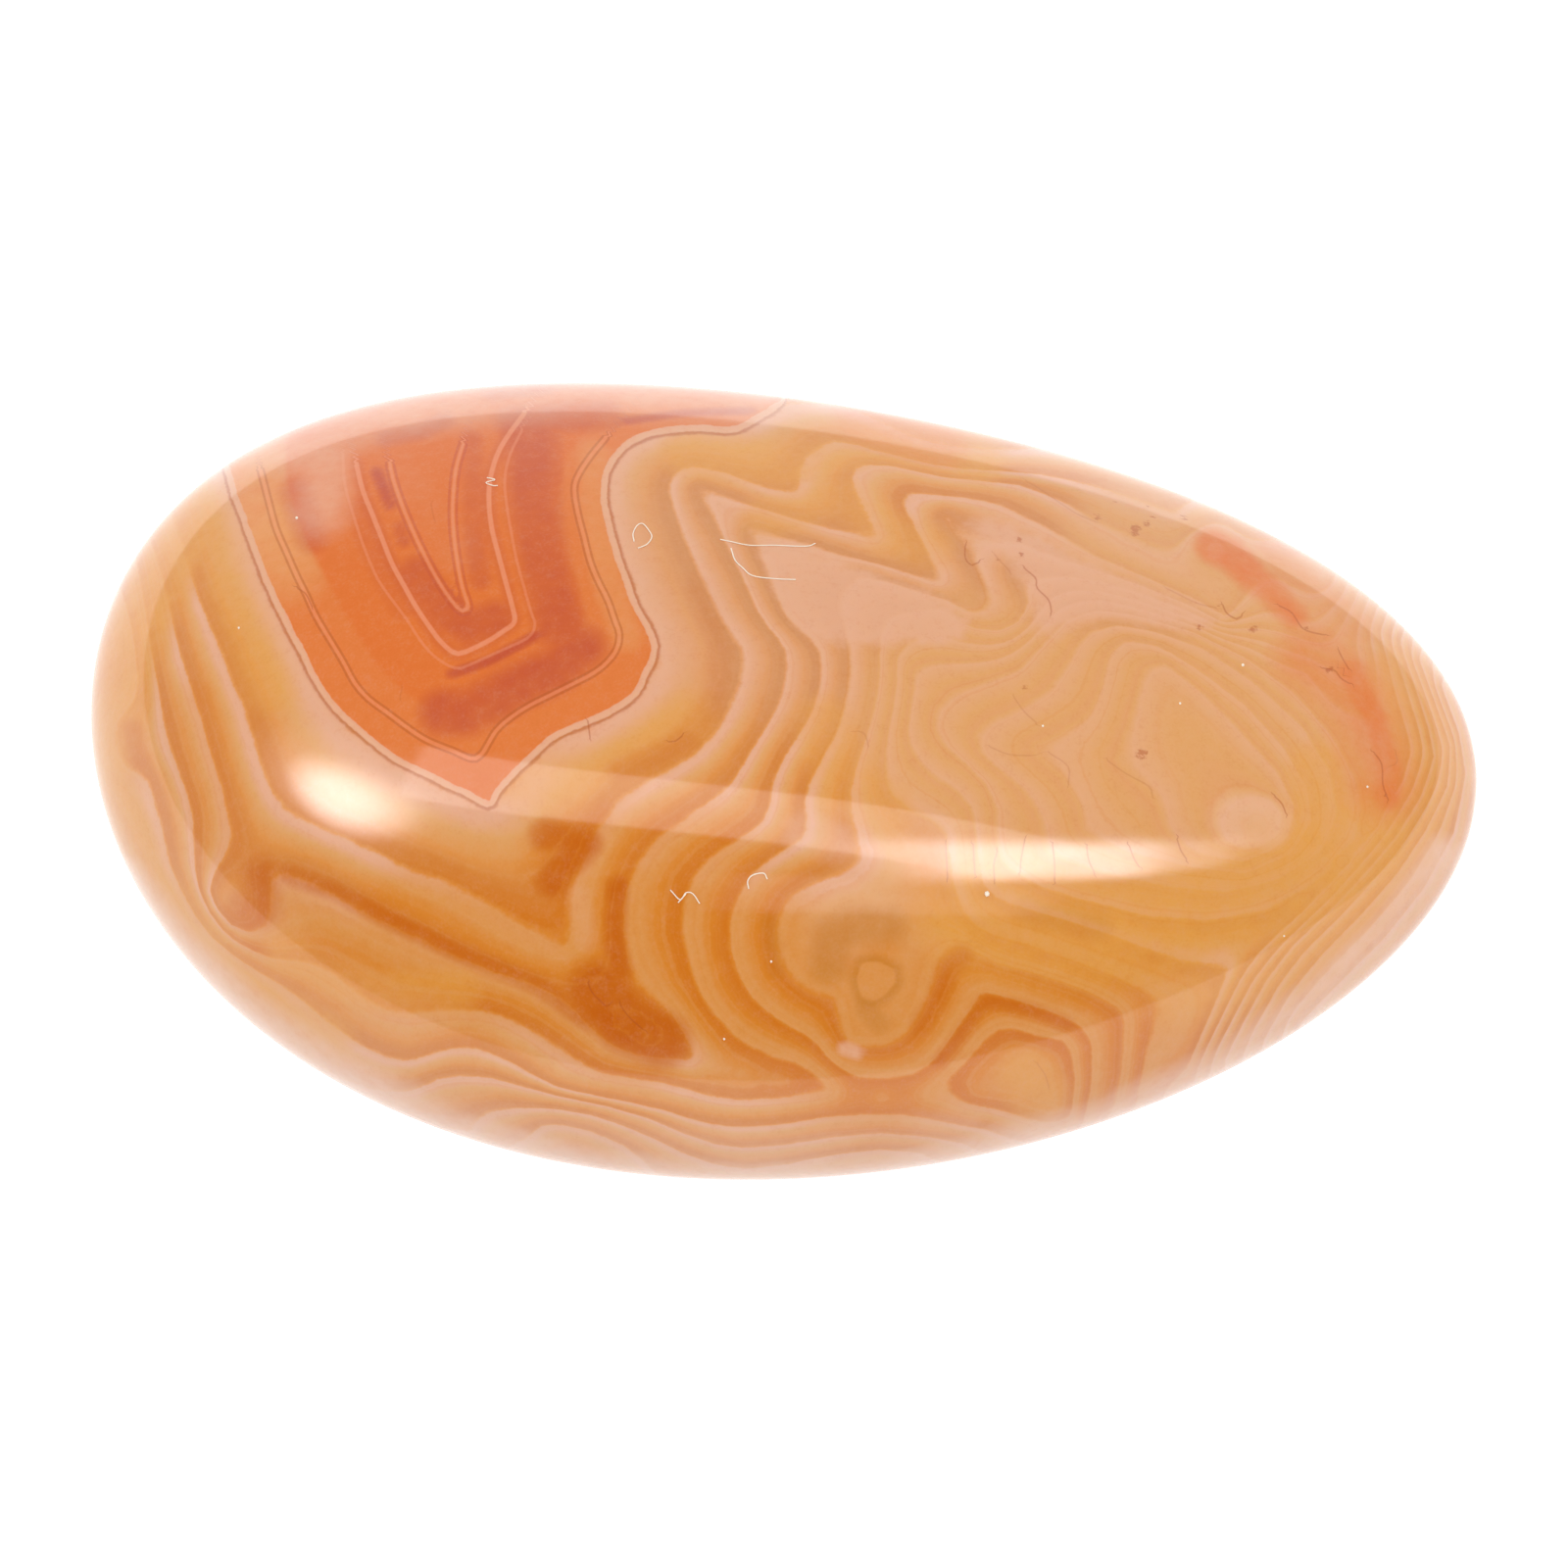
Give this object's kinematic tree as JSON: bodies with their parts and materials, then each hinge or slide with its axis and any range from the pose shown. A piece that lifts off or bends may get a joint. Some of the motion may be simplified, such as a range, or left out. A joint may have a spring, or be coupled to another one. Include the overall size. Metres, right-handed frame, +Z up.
{
  "type": "polished agate pebble",
  "caption": "Tumbled agate pebble, egg-shaped in plan with one blunt and one slim end, glassy polish and nested growth bands, lying on a small worn flat spot.",
  "frame": {"origin": "middle of the stone's bounding box in plan, on the plane of the flat spot that it rests on", "axes": "+X along the stone towards its slim end, +Y across it away from the steeper side, +Z up from the resting spot"},
  "size_m": [0.0564, 0.0374, 0.0229],
  "materials": {
    "agate": "glassy polish, translucent, honey and amber bands with pale pink edges and a red nest"
  },
  "bodies": {
    "root": {"agate_stone": "agate"}
  },
  "joints": []
}
